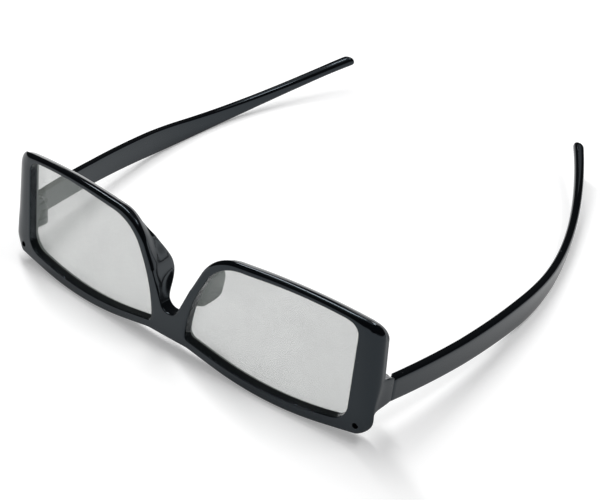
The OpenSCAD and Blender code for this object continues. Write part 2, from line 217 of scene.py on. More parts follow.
class Path:
    """A closed outline that is walked by its length, with the material on its left."""

    def __init__(self, corners):
        self.points = rounded(corners)
        self.marks = [0]
        for i in range(len(self.points)):
            step = self.points[(i + 1) % len(self.points)] - self.points[i]
            self.marks.append(self.marks[-1] + step.length)
        self.length = self.marks[-1]

    def at(self, mark):
        """The spot at a mark, which is a length along the outline."""
        mark %= self.length
        i = min(bisect_right(self.marks, mark), len(self.points)) - 1
        span = self.marks[i + 1] - self.marks[i]
        share = (mark - self.marks[i]) / span if span else 0
        return self.points[i].lerp(self.points[(i + 1) % len(self.points)], share)

    def near(self, spot):
        """The mark nearest to a spot."""
        nearest = min(range(len(self.points)), key=lambda i: (self.points[i] - spot).length)
        steps = range(-NEAR_STEPS, NEAR_STEPS + 1)
        tries = [self.marks[nearest] + step * NEAR_STEP for step in steps]
        return min(tries, key=lambda mark: (self.at(mark) - spot).length) % self.length

    def outward(self, mark):
        """The direction out of the outline at a mark."""
        along = (self.at(mark + OUTWARD_REACH) - self.at(mark - OUTWARD_REACH)).normalized()
        return Vector((along.y, -along.x))

    def gap(self, spot):
        """The distance from a spot to the outline."""
        return min((self.at(self.length * i / SPOT_STEPS) - spot).length for i in range(SPOT_STEPS))


HALF_W = FRONT_W / 2
brow_low_x = HALF_W - BROW_LOW_IN
brow_slope_in = (BROW_RISE + BROW_DIP) / (brow_low_x - BROW_FLAT_W / 2)
brow_slope_out = (BROW_END_RISE + BROW_DIP) / BROW_LOW_IN
lag_in, lag_out = (sqrt(1 + slope ** 2) - 1 for slope in (brow_slope_in, brow_slope_out))
brow_lag = brow_slope_in * lag_out + brow_slope_out * lag_in
brow_r = BROW_DIP * (brow_slope_in + brow_slope_out) / brow_lag
brow_touch_x = brow_low_x + (brow_r * lag_in - BROW_DIP) / brow_slope_in
cheek_top_x = HALF_W - CHEEK_TOP_IN
cheek_top_z = FRONT_H + CHEEK_CROWN
cheek_corner_x = HALF_W - SIDE_LEAN
cheek_corner_z = FRONT_H - CHEEK_FALL
mouth_x = NOTCH_MOUTH_W / 2
knee_x = NOTCH_KNEE_W / 2
floor_x = NOTCH_FLOOR_W / 2
floor_z = BROW_RISE + BRIDGE_H
knee_z = floor_z + NOTCH_KNEE_UP

half_front = Path([
    (0, BROW_RISE, 0),
    (BROW_FLAT_W / 2, BROW_RISE, BROW_FLAT_R),
    (brow_low_x, -BROW_DIP, brow_r),
    (HALF_W, BROW_END_RISE, BROW_CORNER_R),
    (cheek_corner_x, cheek_corner_z, CHEEK_CORNER_R),
    (cheek_top_x, cheek_top_z, CHEEK_R),
    (mouth_x, cheek_corner_z, MOUTH_R),
    (knee_x, knee_z, KNEE_R),
    (floor_x, floor_z, FLOOR_R),
    (0, floor_z, 0),
])

cheek_slope = (cheek_top_z - cheek_corner_z) / (cheek_corner_x - cheek_top_x)
opening_mouth_z = cheek_corner_z - CHEEK_RIM
mouth_share = (opening_mouth_z - knee_z) / (cheek_corner_z - knee_z)
opening_corners = [
    (LENS_GAP_W / 2, BROW_RISE + BROW_RIM, LENS_BRIDGE_R),
    (brow_low_x, BROW_RIM - BROW_DIP, brow_r),
    (HALF_W - SIDE_RIM, BROW_END_RISE - brow_slope_out * SIDE_RIM + BROW_RIM_OUT, BROW_CORNER_R),
    (
        cheek_corner_x - SIDE_RIM_TOP,
        cheek_corner_z + cheek_slope * SIDE_RIM_TOP - CHEEK_RIM_OUT,
        CHEEK_CORNER_R,
    ),
    (cheek_top_x, cheek_top_z - CHEEK_RIM, CHEEK_R),
    (knee_x + (mouth_x - knee_x) * mouth_share + MOUTH_RIM, opening_mouth_z, MOUTH_R),
    (
        floor_x + (knee_x - floor_x) * LENS_LEAN_UP / NOTCH_KNEE_UP + NOSE_RIM,
        floor_z + LENS_LEAN_UP,
        LENS_LEAN_R,
    ),
]
opening = Path(opening_corners)
brow_end, cheek_end, mouth_end, lean_end = (Vector(opening_corners[i][:2]) for i in (2, 3, 5, 6))


def wrap_y(x, depth):
    """Y of a point that lies a depth behind the wrapped front face."""
    return WRAP_R - sqrt((WRAP_R - depth) ** 2 - x * x)


def eased(value, low, high):
    """0 up to low and 1 from high on, with a smooth rise between them."""
    share = min(1, max(0, (value - low) / (high - low)))
    return share * share * (3 - 2 * share)


def ramped(value, low, high):
    """0 up to low and 1 from high on, with a nearly straight rise between them."""
    share = min(1, max(0, (value - low) / (high - low)))
    return (share + eased(value, low, high)) / 2


# Temple and hinge, in the glasses' own axes

rest_z = -wrap_y(brow_touch_x, RIM_DEPTH) * sin(TILT)
bend_start = BEND_AT - BEND_R * tan(radians(EAR_ANGLE) / 2)
touch_y = bend_start + BEND_R * sin(TILT)
touch_z = (rest_z + touch_y * sin(TILT)) / cos(TILT)
belly_z = touch_z - BEND_R * (1 - cos(TILT))
arm_low = belly_z + BELLY
arm_top = arm_low + TEMPLE_H
arm_face = HINGE_AT + HINGE_PLAY / 2
end_face = HINGE_AT - HINGE_PLAY / 2

bow_x = HALF_W + ARM_OUT + BOW_R - sqrt((BOW_R + TEMPLE_T) ** 2 - (BOW_AT - HINGE_AT) ** 2)
ear_l = TEMPLE_REACH - BOW_AT
ear_in = EAR_BOW_R - sqrt(EAR_BOW_R ** 2 - ear_l ** 2)
ear_out = ear_in + TEMPLE_T - EAR_T / cos(asin(ear_l / EAR_BOW_R))
ear_outer_r = (ear_l ** 2 + ear_out ** 2) / (2 * ear_out)


def inner_x(y):
    """X of the temple's inner face."""
    radius = BOW_R if y < BOW_AT else EAR_BOW_R
    return bow_x - radius + sqrt(radius ** 2 - (y - BOW_AT) ** 2)


def outer_x(y):
    """X of the temple's outer face."""
    radius = BOW_R + TEMPLE_T if y < BOW_AT else ear_outer_r
    return bow_x + TEMPLE_T - radius + sqrt(radius ** 2 - (y - BOW_AT) ** 2)


pin_x = inner_x(HINGE_AT) - PIN_INSET
block_x = pin_x - BARREL_D / 2
barrel_low = arm_low - BARREL_DROP
barrel_top = barrel_low + BARREL_H
knuckle_low = barrel_low + (BARREL_H - KNUCKLE_H) / 2
knuckle_top = knuckle_low + KNUCKLE_H


# Modelling helpers

MERGE = 1e-6
SEAM = 1e-7
ROUND_SIDES = 64
DIMPLE_SIDES = 48
CHAMFER_STEPS = 3
SMOOTH_ANGLE = radians(38)


def deselect():
    if bpy.context.object and bpy.context.object.mode != "OBJECT":
        bpy.ops.object.mode_set(mode="OBJECT")
    bpy.ops.object.select_all(action="DESELECT")


def only(piece):
    deselect()
    piece.select_set(True)
    bpy.context.view_layer.objects.active = piece


def applied(piece, kind, **settings):
    """Adds a modifier to a piece and applies it."""
    only(piece)
    modifier = piece.modifiers.new(kind.title(), kind)
    for name, value in settings.items():
        setattr(modifier, name, value)
    bpy.ops.object.modifier_apply(modifier=modifier.name)
    return piece


def cleaned(piece):
    """Merges what coincides and turns all faces outwards."""
    only(piece)
    bpy.ops.object.mode_set(mode="EDIT")
    bpy.ops.mesh.select_all(action="SELECT")
    bpy.ops.mesh.remove_doubles(threshold=MERGE)
    bpy.ops.mesh.dissolve_degenerate(threshold=MERGE)
    bpy.ops.mesh.normals_make_consistent(inside=False)
    bpy.ops.object.mode_set(mode="OBJECT")
    return piece


def skin(name, rows):
    """A grid that is wrapped round a row of rings, with its long seam closed."""
    deselect()
    width = len(rows[0]) + 1
    bpy.ops.mesh.primitive_grid_add(x_subdivisions=width - 1, y_subdivisions=len(rows) - 1)
    piece = bpy.context.object
    piece.name = piece.data.name = name
    for row, ring in enumerate(rows):
        for column in range(width):
            piece.data.vertices[row * width + column].co = placed(*ring[column % len(ring)])
    return cleaned(piece)


def rod(name, radius, low, top, chamfer=0):
    """A round bar on the right hinge's axis, with its ends chamfered if asked."""
    deselect()
    bpy.ops.mesh.primitive_cylinder_add(
        vertices=ROUND_SIDES, radius=radius * MM, depth=(top - low) * MM,
        location=placed(pin_x, HINGE_AT, (low + top) / 2), rotation=(-TILT, 0, 0),
    )
    return finished_start(name, chamfer)


def block(name, low, top, chamfer):
    """A block between two corners of the glasses' own axes, with chamfered edges."""
    deselect()
    low, top = Vector(low), Vector(top)
    middle = placed(*((low + top) / 2))
    bpy.ops.mesh.primitive_cube_add(size=1, location=middle, rotation=(-TILT, 0, 0))
    bpy.context.object.scale = (top - low) * MM
    return finished_start(name, chamfer)


def finished_start(name, chamfer):
    """Names the shape just added, fixes its place and chamfers its edges if asked."""
    piece = bpy.context.object
    piece.name = piece.data.name = name
    bpy.ops.object.transform_apply(location=True, rotation=True, scale=True)
    if chamfer:
        applied(piece, "BEVEL", width=chamfer * MM, segments=CHAMFER_STEPS, limit_method="ANGLE")
    return piece


def cut(piece, *cutters):
    """Takes the cutters out of a piece, and removes them."""
    for cutter in cutters:
        applied(piece, "BOOLEAN", operation="DIFFERENCE", object=cutter, solver="EXACT")
        bpy.data.objects.remove(cutter)
    return piece


def joined(piece, *others):
    """Joins other pieces to a piece."""
    only(piece)
    for other in others:
        other.select_set(True)
    bpy.ops.object.join()
    return piece


def on_left(piece, name):
    """A mirrored copy of a piece for the wearer's left."""
    only(piece)
    bpy.ops.object.duplicate()
    copy = bpy.context.object
    copy.name = copy.data.name = name
    bpy.ops.transform.mirror(constraint_axis=(True, False, False), center_override=(0, 0, 0))
    bpy.ops.object.transform_apply(location=True, rotation=True, scale=True)
    return cleaned(copy)


def smooth(piece):
    only(piece)
    bpy.ops.object.shade_smooth_by_angle(angle=SMOOTH_ANGLE)
    return piece


# Front moulding

FACE_STEPS = 5
EDGE_STEPS = 8
WALL_STEPS = 8
TIP_STEPS = 5
STEM_STEPS = 5
BACK_STEPS = 3
LENS_EDGE_STEPS = 3
LENS_WALL_STEPS = 3

# How far an outline has to face a way, from 0 to 1, before a form starts there and is full
SIDE_FACING = (0.25, 0.95)
TOP_FACING = (0.2, 0.8)
NOTCH_FACING = (0.2, 0.85)
CROWN_FACING = (0, 0.95)

NOTCH_SLACK = 0.5
REBATE_LEAST = 0.05
FAR_PACE = 3
FLOOR_MEETS_DROP = 2.5
BROW_MEETS_OUT = 2


def crown_at(outward, z):
    """How far the rim's back lies below its front edge."""
    return TOP_CROWN * eased(outward.y, *CROWN_FACING) * eased(z, knee_z, knee_z + CROWN_RUN)


class Station:
    """One cross section of the rim, between the outline of the front and the lens opening."""

    def __init__(self, outline_mark, opening_mark, on_bridge):
        self.out = half_front.at(outline_mark)
        self.lens = opening.at(opening_mark)
        self.into_lens = -opening.outward(opening_mark)
        self.outward = Vector((-1, 0)) if on_bridge else half_front.outward(outline_mark)
        if not on_bridge and abs(self.out.x) < SAME_SPOT:
            self.outward = Vector((0, -1 if self.out.y < floor_z - NOTCH_SLACK else 1))
        x, z = self.out
        side = eased(self.outward.x, *SIDE_FACING) if x > cheek_top_x else 0
        full = side * eased(z, arm_low, arm_low + SIDE_ROLL_RUN)
        self.out = self.out + self.outward * SIDE_SWELL * full
        x, z = self.out
        top = TOP_ROLL + (1 - TOP_ROLL) * eased(x, *ROLL_SPAN) if z > knee_z else 0
        roll = 1 - (1 - side) * (1 - top * eased(self.outward.y, *TOP_FACING))
        deep = ROLL_DEEP + (SIDE_ROLL_DEEP - ROLL_DEEP) * full
        in_notch = z > floor_z - NOTCH_SLACK and not on_bridge
        notch = eased(-self.outward.x, *NOTCH_FACING) if in_notch else 0
        self.rim = opening.gap(self.out)
        roll_in = min(ROLL_IN, ROLL_SHARE * self.rim)
        self.edge_in = 0 if on_bridge else EDGE_R + (roll_in - EDGE_R) * roll
        self.edge_deep = 0 if on_bridge else EDGE_R + (deep - EDGE_R) * roll
        self.tip_r = 0 if on_bridge else BACK_EDGE_R
        self.crown = crown_at(self.outward, z)
        self.hollow = HOLLOW_IN * side * (1 - eased(z, arm_low - HOLLOW_DROP, arm_low))
        crown = max(self.crown, crown_at(-self.into_lens, self.lens.y))
        room = half_front.gap(self.lens) - crown - BACK_EDGE_R - 2 * LENS_EDGE_R
        self.rebate = min(GROOVE_BITE, max(REBATE_LEAST, room))
        self.reach = RIM_DEPTH
        self.far = self.tip_r
        self.splay = 0
        self.lean = 0
        if notch > 0:
            self.nose_rest(z, notch)
        if side > 0:
            self.end_piece(x, z)

    def nose_rest(self, z, notch):
        """Draws the section back into a nose rest."""
        low, top = floor_z + REST_UP, cheek_corner_z - REST_TOP_IN
        ramp, fall = REST_RAMP * (top - low), REST_FALL * (top - low)
        rise = eased(z, low, low + ramp) * (1 - ramped(z, top - fall, top))
        self.reach = RIM_DEPTH + (REST_REACH - RIM_DEPTH) * rise
        self.splay = tan(radians(REST_SPLAY)) * eased(z, low, low + ramp) * notch
        thick = REST_T + REST_ROOT * (1 - eased(z, low + ramp / 2, knee_z))
        self.far = self.tip_r + (thick - self.tip_r) * min(1, rise * FAR_PACE)

    def end_piece(self, x, z):
        """Draws the section back into the end piece that carries the hinge."""
        rise = eased(z, arm_low - FLARE_BROW, arm_low + FLARE_BROW)
        rise *= 1 - eased(z, arm_top, arm_top + FLARE_CHEEK)
        full = WRAP_R - sqrt((WRAP_R - end_face) ** 2 + block_x ** 2)
        self.reach = RIM_DEPTH + (full - RIM_DEPTH) * rise
        self.lean = (outer_x(end_face) - x) * rise
        self.far = self.tip_r + (x - block_x - self.tip_r) * min(1, rise * FAR_PACE)

    def inset(self, depth):
        """How far the outer wall lies inside the outline at a depth."""
        share = min(1, max(0, depth - EDGE_R) / (RIM_DEPTH - EDGE_R))
        outward = self.lean * eased(depth, self.edge_deep, self.reach)
        hollow = self.hollow * eased(depth, HOLLOW_FROM, RIM_DEPTH)
        return self.crown * share ** 2 + self.splay * max(0, depth - REST_FROM) + hollow - outward

    def ring(self):
        """Points of the section as (spot, depth), from the lens round the outer edge and back."""
        points = []
        lens_front = self.lens - self.into_lens * LENS_EDGE_R
        face_end = self.out - self.outward * self.edge_in
        for step in range(FACE_STEPS):
            points.append((lens_front.lerp(face_end, step / FACE_STEPS), 0))
        for step in range(EDGE_STEPS + 1):
            angle = pi / 2 * step / EDGE_STEPS
            spot = self.out - self.outward * self.edge_in * (1 - sin(angle))
            points.append((spot, self.edge_deep * (1 - cos(angle))))
        wall_end = self.reach - self.tip_r
        for step in range(1, WALL_STEPS + 1):
            depth = self.edge_deep + (wall_end - self.edge_deep) * step / WALL_STEPS
            points.append((self.out - self.outward * self.inset(depth), depth))
        for step in range(1, TIP_STEPS + 1):
            angle = pi / 2 * step / TIP_STEPS
            depth = wall_end + self.tip_r * sin(angle)
            inset = self.inset(depth) + self.tip_r * (1 - cos(angle))
            points.append((self.out - self.outward * inset, depth))
        points += self.stem()
        foot = points[-1][0]
        seat = self.lens - self.into_lens * self.rebate
        seat_back = seat - self.into_lens * LENS_EDGE_R
        for step in range(1, BACK_STEPS + 1):
            points.append((foot.lerp(seat_back, step / BACK_STEPS), RIM_DEPTH))
        for step in range(1, LENS_EDGE_STEPS + 1):
            angle = pi / 2 * step / LENS_EDGE_STEPS
            spot = seat - self.into_lens * LENS_EDGE_R * (1 - sin(angle))
            points.append((spot, RIM_DEPTH - LENS_EDGE_R * (1 - cos(angle))))
        points.append((seat, GROOVE_FRONT))
        for step in range(LENS_WALL_STEPS + 1):
            depth = GROOVE_FRONT - (GROOVE_FRONT - LENS_EDGE_R) * step / LENS_WALL_STEPS
            points.append((self.lens, depth))
        for step in range(1, LENS_EDGE_STEPS):
            angle = pi / 2 * step / LENS_EDGE_STEPS
            spot = self.lens - self.into_lens * LENS_EDGE_R * (1 - cos(angle))
            points.append((spot, LENS_EDGE_R * (1 - sin(angle))))
        return points

    def stem(self):
        """The far side of a rest or an end piece, from its tip down to the back of the rim."""
        stand = self.reach - RIM_DEPTH
        turn = min(self.tip_r, stand / 2)
        tip_far = self.inset(self.reach) + self.far
        wall = self.inset(RIM_DEPTH)
        room = self.rim - self.rebate - 2 * LENS_EDGE_R
        foot_far = max(wall + self.tip_r, min(wall + self.far, room))
        points = []
        for step in range(TIP_STEPS + 1):
            angle = pi / 2 * step / TIP_STEPS
            far = tip_far - turn * (1 - sin(angle))
            points.append((self.out - self.outward * far, self.reach - turn * (1 - cos(angle))))
        for step in range(1, STEM_STEPS + 1):
            share = step / STEM_STEPS
            far = tip_far + (foot_far - tip_far) * share
            points.append((self.out - self.outward * far, self.reach - turn - (stand - turn) * share))
        return points


def stations():
    """Sections all round the right rim, matched between the outline and the lens opening.

    Each pair has a spot on both and the count of sections from there to the next pair.
    """
    floor_meets = Vector((lean_end.x, floor_z - FLOOR_MEETS_DROP))
    brow_meets = Vector((BROW_FLAT_W / 2 + BROW_MEETS_OUT, BROW_RISE + BROW_RIM))
    pairs = [
        (Vector((0, BROW_RISE)), brow_meets, 110),
        (Vector((HALF_W, BROW_END_RISE)), brow_end, 96),
        (Vector((cheek_corner_x, cheek_corner_z)), cheek_end, 90),
        (Vector((mouth_x, cheek_corner_z)), mouth_end, 44),
        (Vector((knee_x, knee_z)), lean_end, 40),
        (Vector((0, floor_z)), floor_meets, 16),
    ]
    outline_marks = [half_front.near(pair[0]) for pair in pairs]
    opening_marks = [opening.near(pair[1]) for pair in pairs]
    outline_marks[0] = 0
    outline_marks.append(half_front.length)
    opening_marks.append(opening_marks[0])
    found = []
    for i, (_, _, count) in enumerate(pairs):
        outline_run = outline_marks[i + 1] - outline_marks[i]
        opening_run = (opening_marks[i + 1] - opening_marks[i]) % opening.length
        on_bridge = i == len(pairs) - 1
        for step in range(count):
            share = step / count
            found.append(Station(
                outline_marks[i] + outline_run * share,
                opening_marks[i] + opening_run * share,
                on_bridge and step > 0,
            ))
    return found


def hinge_lugs():
    """The two lugs of the right hinge, each a round barrel on a block of the end piece."""
    spans = [(barrel_low, knuckle_low - HINGE_PLAY), (knuckle_top + HINGE_PLAY, barrel_top)]
    lugs = []
    for low, top in spans:
        lugs.append(rod("lug_barrel", BARREL_D / 2, low, top, LUG_CHAMFER))
        corner = (block_x, end_face - LUG_ROOT, low)
        lugs.append(block("lug_block", corner, (block_x + BARREL_D, HINGE_AT, top), LUG_CHAMFER))
    return lugs


def dimple():
    """The round hollow in the brow corner."""
    x = HALF_W - DIMPLE_IN
    deselect()
    bpy.ops.mesh.primitive_cylinder_add(
        vertices=DIMPLE_SIDES, radius=DIMPLE_D / 2 * MM, depth=2 * DIMPLE_DEPTH * MM,
        location=placed(x, wrap_y(x, 0), BROW_END_RISE + DIMPLE_UP),
        rotation=(pi / 2 - TILT, 0, 0),
    )
    return finished_start("dimple", 0)


def front_moulding():
    """The right half of the front with its lugs, opened on the middle plane and mirrored."""
    rows = []
    for station in stations():
        row = []
        for spot, depth in station.ring():
            row.append((spot.x, min(wrap_y(spot.x, depth), end_face), spot.y))
        rows.append(row)
    rows.append(rows[0])
    piece = skin("front_moulding", rows)
    room_low, room_top = knuckle_low - HINGE_PLAY, knuckle_top + HINGE_PLAY
    room = rod("knuckle_room", BARREL_D / 2 + HINGE_PLAY, room_low, room_top)
    cut(piece, room, dimple())
    joined(piece, *hinge_lugs())
    only(piece)
    bpy.ops.object.mode_set(mode="EDIT")
    bpy.ops.mesh.select_mode(type="FACE")
    bpy.ops.mesh.select_all(action="DESELECT")
    bpy.ops.object.mode_set(mode="OBJECT")
    for face in piece.data.polygons:
        face.select = all(abs(piece.data.vertices[i].co.x) < SEAM for i in face.vertices)
    bpy.ops.object.mode_set(mode="EDIT")
    bpy.ops.mesh.delete(type="FACE")
    bpy.ops.object.mode_set(mode="OBJECT")
    applied(piece, "MIRROR", use_axis=(True, False, False), merge_threshold=MERGE)
    return smooth(cleaned(piece))


# Temples

TEMPLE_STEPS = 120
CORNER_STEPS = 6
FACE_ROWS = 6
INNER_EDGE_R = 0.5
OUTER_EDGE_R = 0.9
EAR_EDGE_R = 1.55
EAR_EDGE_RUN = 25
CAP_EDGE = 0.25
CAP_SCALES = (0, 0.5, 0.9)
TIP_ROWS = 9
ROOM_PAST = 1


def temple_chains():
    """Brow-side and cheek-side edges of a temple, seen from the side, as points (y, z)."""
    angle = radians(EAR_ANGLE)
    onward, upward = Vector((cos(angle), sin(angle))), Vector((-sin(angle), cos(angle)))
    bend = Vector((BEND_AT, belly_z))
    tip_y = TEMPLE_REACH - EAR_H / 2
    ear_run = (tip_y - BEND_AT + EAR_H / 2 * sin(angle)) / cos(angle)
    low_end = bend + onward * (ear_run + EAR_H / 2)
    top_end = low_end + upward * EAR_H
    swell_z = belly_z + SWELL_H
    neck_z = swell_z - SWELL_DROP
    ear_top = bend + upward * EAR_H
    neck_y = ear_top.x + (neck_z - ear_top.y) / tan(angle)
    corners = [
        (arm_face, arm_low, 0),
        (SWELL_FROM, belly_z, SWELL_R),
        (BEND_AT, belly_z, BEND_R),
        (low_end.x, low_end.y, 0),
        (top_end.x, top_end.y, 0),
        (neck_y, neck_z, NECK_R),
        (BOW_AT, swell_z, SWELL_R),
        (SWELL_FROM, arm_top, SWELL_R),
        (arm_face, arm_top, 0),
    ]
    points = rounded(corners)
    turn = next(i for i, point in enumerate(points) if (point - top_end).length < SAME_SPOT)
    return points[:turn], points[turn:][::-1]


def along_chain(points, count):
    """Evenly spaced points along an open chain."""
    marks = [0]
    for one, other in zip(points, points[1:]):
        marks.append(marks[-1] + (other - one).length)
    found, i = [], 0
    for step in range(count + 1):
        mark = marks[-1] * step / count
        while i < len(points) - 2 and marks[i + 1] < mark:
            i += 1
        share = (mark - marks[i]) / (marks[i + 1] - marks[i])
        found.append(points[i].lerp(points[i + 1], share))
    return found


def temple_ring(low, top, scale=1.0):
    """One cross section of a temple from its brow-side edge to its cheek-side edge."""
    height = (top - low).length
    middle_y = (low.x + top.x) / 2
    thick = outer_x(middle_y) - inner_x(middle_y)
    ear = eased(middle_y, BOW_AT, BEND_AT + EAR_EDGE_RUN)
    inner_r = INNER_EDGE_R + (EAR_EDGE_R - INNER_EDGE_R) * ear
    outer_r = OUTER_EDGE_R + (EAR_EDGE_R - OUTER_EDGE_R) * ear
    corners = [
        (0, 0, inner_r, pi),
        (thick, 0, outer_r, -pi / 2),
        (thick, height, outer_r, 0),
        (0, height, inner_r, pi / 2),
    ]
    flat = []
    for i, (across, up, radius, start) in enumerate(corners):
        middle = Vector((
            across + (radius if across == 0 else -radius),
            up + (radius if up == 0 else -radius),
        ))
        for step in range(CORNER_STEPS + 1):
            angle = start + pi / 2 * step / CORNER_STEPS
            flat.append(middle + radius * Vector((cos(angle), sin(angle))))
        if i in (1, 3):
            here, onward = flat[-1], (height - 2 * radius) * (1 if i == 1 else -1)
            for step in range(1, FACE_ROWS):
                flat.append(here + Vector((0, onward * step / FACE_ROWS)))
    ring = []
    heart = Vector((thick / 2, height / 2))
    for point in flat:
        point = heart + (point - heart) * scale
        share = point.y / height
        y = low.x + (top.x - low.x) * share
        z = low.y + (top.y - low.y) * share
        ring.append((inner_x(y) + point.x, y, z))
    return ring


def temple_moulding(name):
    """The right temple with its knuckle."""
    low_chain, top_chain = temple_chains()
    lows, tops = along_chain(low_chain, TEMPLE_STEPS), along_chain(top_chain, TEMPLE_STEPS)
    tip_l = EAR_H / 2
    tip_run = (lows[-1] - lows[-2]).normalized() * tip_l
    kept = [i for i in range(1, TEMPLE_STEPS) if (lows[-1] - lows[i]).length > tip_l]
    rows = [temple_ring(lows[0], tops[0], scale) for scale in CAP_SCALES]
    bevel = Vector((CAP_EDGE, 0))
    rows.append(temple_ring(lows[0] + bevel, tops[0] + bevel))
    rows += [temple_ring(lows[i], tops[i]) for i in kept]
    for step in range(TIP_ROWS + 1):
        angle = pi / 2 * step / TIP_ROWS
        back = tip_run * (1 - sin(angle))
        scale = cos(angle) if step < TIP_ROWS else 0
        rows.append(temple_ring(lows[-1] - back, tops[-1] - back, scale))
    piece = skin(name, rows)
    room_low, room_top = arm_low - ROOM_PAST, arm_top + ROOM_PAST
    cut(piece, rod("barrel_room", BARREL_D / 2 + HINGE_PLAY, room_low, room_top))
    knuckle = rod("knuckle", BARREL_D / 2, knuckle_low, knuckle_top, LUG_CHAMFER)
    web_end = (pin_x + PIN_INSET + TEMPLE_T / 2, arm_face + WEB_L, knuckle_top)
    web = block("web", (pin_x, arm_face, knuckle_low), web_end, LUG_CHAMFER)
    return smooth(cleaned(joined(piece, knuckle, web)))


# Lenses

LENS_RINGS = 14
LENS_SPOKES = 200
LAYER_GAP = 0.01


def lens_layer(name, depth, thickness):
    """One smooth layer of the right lens, out to the foot of its groove."""
    marks = [opening.length * i / LENS_SPOKES for i in range(LENS_SPOKES)]
    edge = [opening.at(mark) + opening.outward(mark) * (GROOVE_BITE - LENS_PLAY) for mark in marks]
    heart = sum(edge, Vector((0, 0))) / len(edge)
    rows = []
    faces = [
        (depth, range(LENS_RINGS + 1)),
        (depth + thickness - LAYER_GAP, range(LENS_RINGS, -1, -1)),
    ]
    for at, shares in faces:
        for share in shares:
            spots = [heart.lerp(spot, share / LENS_RINGS) for spot in edge]
            rows.append([(spot.x, wrap_y(spot.x, at), spot.y) for spot in spots])
    return smooth(skin(name, rows))


# Materials

class Wire:
    """A socket of a material's nodes, which + and * join by Math nodes."""

    def __init__(self, material, socket):
        self.material = material
        self.socket = socket

    def math(self, operation, *values):
        return self.material.node("ShaderNodeMath", {"operation": operation}, dict(enumerate(values)))

    def __add__(self, other):
        return self.math("ADD", self, other)

    def __mul__(self, other):
        return self.math("MULTIPLY", self, other)


class Finish:
    """A material that is built node by node."""

    def __init__(self, name):
        self.material = bpy.data.materials.new(name)
        self.material.use_nodes = True
        self.nodes = self.material.node_tree.nodes
        self.links = self.material.node_tree.links
        self.shader = self.nodes["Principled BSDF"]
        self.place = self.node("ShaderNodeTexCoord", {}, {}, "Object")

    def node(self, kind, settings, values, output=0):
        """Adds a node with its settings and the values or links of its sockets."""
        node = self.nodes.new(kind)
        for name, value in settings.items():
            setattr(node, name, value)
        for name, value in values.items():
            self.feed(node, name, value)
        return Wire(self, node.outputs[output])

    def feed(self, node, name, value):
        if isinstance(value, Wire):
            self.links.new(value.socket, node.inputs[name])
        else:
            node.inputs[name].default_value = value

    def shade(self, **values):
        """Sets sockets of the shader, named with _ for a space, and gives the material."""
        for name, value in values.items():
            self.feed(self.shader, name.replace("_", " "), value)
        return self.material

    def noise(self, scale, detail=2.0, roughness=0.5):
        return self.node("ShaderNodeTexNoise", {}, {
            "Vector": self.place, "Scale": scale, "Detail": detail, "Roughness": roughness,
        })

    def ranged(self, value, low, high, to_low=0.0, to_high=1.0):
        return self.node("ShaderNodeMapRange", {"clamp": True}, {
            "Value": value, "From Min": low, "From Max": high, "To Min": to_low, "To Max": to_high,
        })

    def mixed(self, share, one, other):
        return self.node("ShaderNodeMix", {"data_type": "RGBA"}, {
            "Factor": share, 6: one, 7: other,
        }, 2)

    def bump(self, height, strength, distance):
        return self.node("ShaderNodeBump", {}, {
            "Height": height, "Strength": strength, "Distance": distance,
        })


PLASTIC_BLACK = (0.002, 0.0024, 0.003, 1)
PLASTIC_SHEEN = (0.74, 0.88, 1, 1)
PLASTIC_DUST = (0.16, 0.165, 0.17, 1)
PLASTIC_IOR = 1.43
PLASTIC_ROUGH = (0.05, 0.13)
DUST_SCALE = 420.0
DUST_SPAN = (0.05, 0.075)
DUST_SHARE = 0.5
DUST_ROUGH = 0.4
GRAIN_SCALE = 260.0
GRAIN_SPAN = (0.56, 0.6)
SMEAR_SCALE = 45.0
SMEAR_SPAN = (0.35, 0.7)
FLOW_SCALE = 90.0
FLOW_STRENGTH = 0.012
FLOW_HEIGHT = 0.0004
FILM_IOR = 1.45
FILM_ROUGH = (0.06, 0.12)
# Painted glow: the emission colour of the lens films, standing in for room light scattered by their
# haze
PAINTED_GLOW_COLOUR = (0.93, 1, 0.95, 1)
HAZE_SCALE = 60.0
HAZE_SPAN = (0.3, 0.7)
HAZE_SPREAD = 0.008
STEEL_DARK = (0.5, 0.51, 0.52, 1)
STEEL_PALE = (0.66, 0.67, 0.68, 1)
STEEL_ROUGH = (0.22, 0.36)
LINE_SCALE = 3000.0
LINE_SPAN = (0.3, 0.7)
LINE_STRETCH = (1, 1, 0.05)


def gloss_black():
    """Black injection-moulded plastic: high gloss with faint flow, smears and dust."""
    finish = Finish("gloss_black")
    speck = finish.node("ShaderNodeTexVoronoi", {"feature": "F1"}, {
        "Vector": finish.place, "Scale": DUST_SCALE,
    })
    grain = finish.noise(GRAIN_SCALE)
    dust = finish.ranged(speck, *DUST_SPAN, 1, 0) * finish.ranged(grain, *GRAIN_SPAN)
    smear = finish.noise(SMEAR_SCALE, detail=4.0, roughness=0.6)
    flow = finish.noise(FLOW_SCALE, detail=1.0)
    return finish.shade(
        Base_Color=finish.mixed(dust * DUST_SHARE, PLASTIC_BLACK, PLASTIC_DUST),
        Roughness=finish.ranged(smear, *SMEAR_SPAN, *PLASTIC_ROUGH) + dust * DUST_ROUGH,
        Normal=finish.bump(flow, FLOW_STRENGTH, FLOW_HEIGHT),
        IOR=PLASTIC_IOR,
        Specular_Tint=PLASTIC_SHEEN,
    )


def film(name, colour, alpha, glow=0.0):
    """A clear or grey film of a lens. Its glow is painted light: an emission that stands for room
    light scattered by its haze.
    """
    finish = Finish(name)
    haze = finish.noise(HAZE_SCALE, detail=3.0, roughness=0.6)
    return finish.shade(
        Base_Color=colour,
        Alpha=finish.ranged(haze, *HAZE_SPAN, alpha - HAZE_SPREAD, alpha + HAZE_SPREAD),
        Roughness=finish.ranged(haze, *HAZE_SPAN, *FILM_ROUGH),
        IOR=FILM_IOR,
        # painted glow: emission on the film in place of scattered light
        Emission_Color=PAINTED_GLOW_COLOUR,
        Emission_Strength=glow,
    )


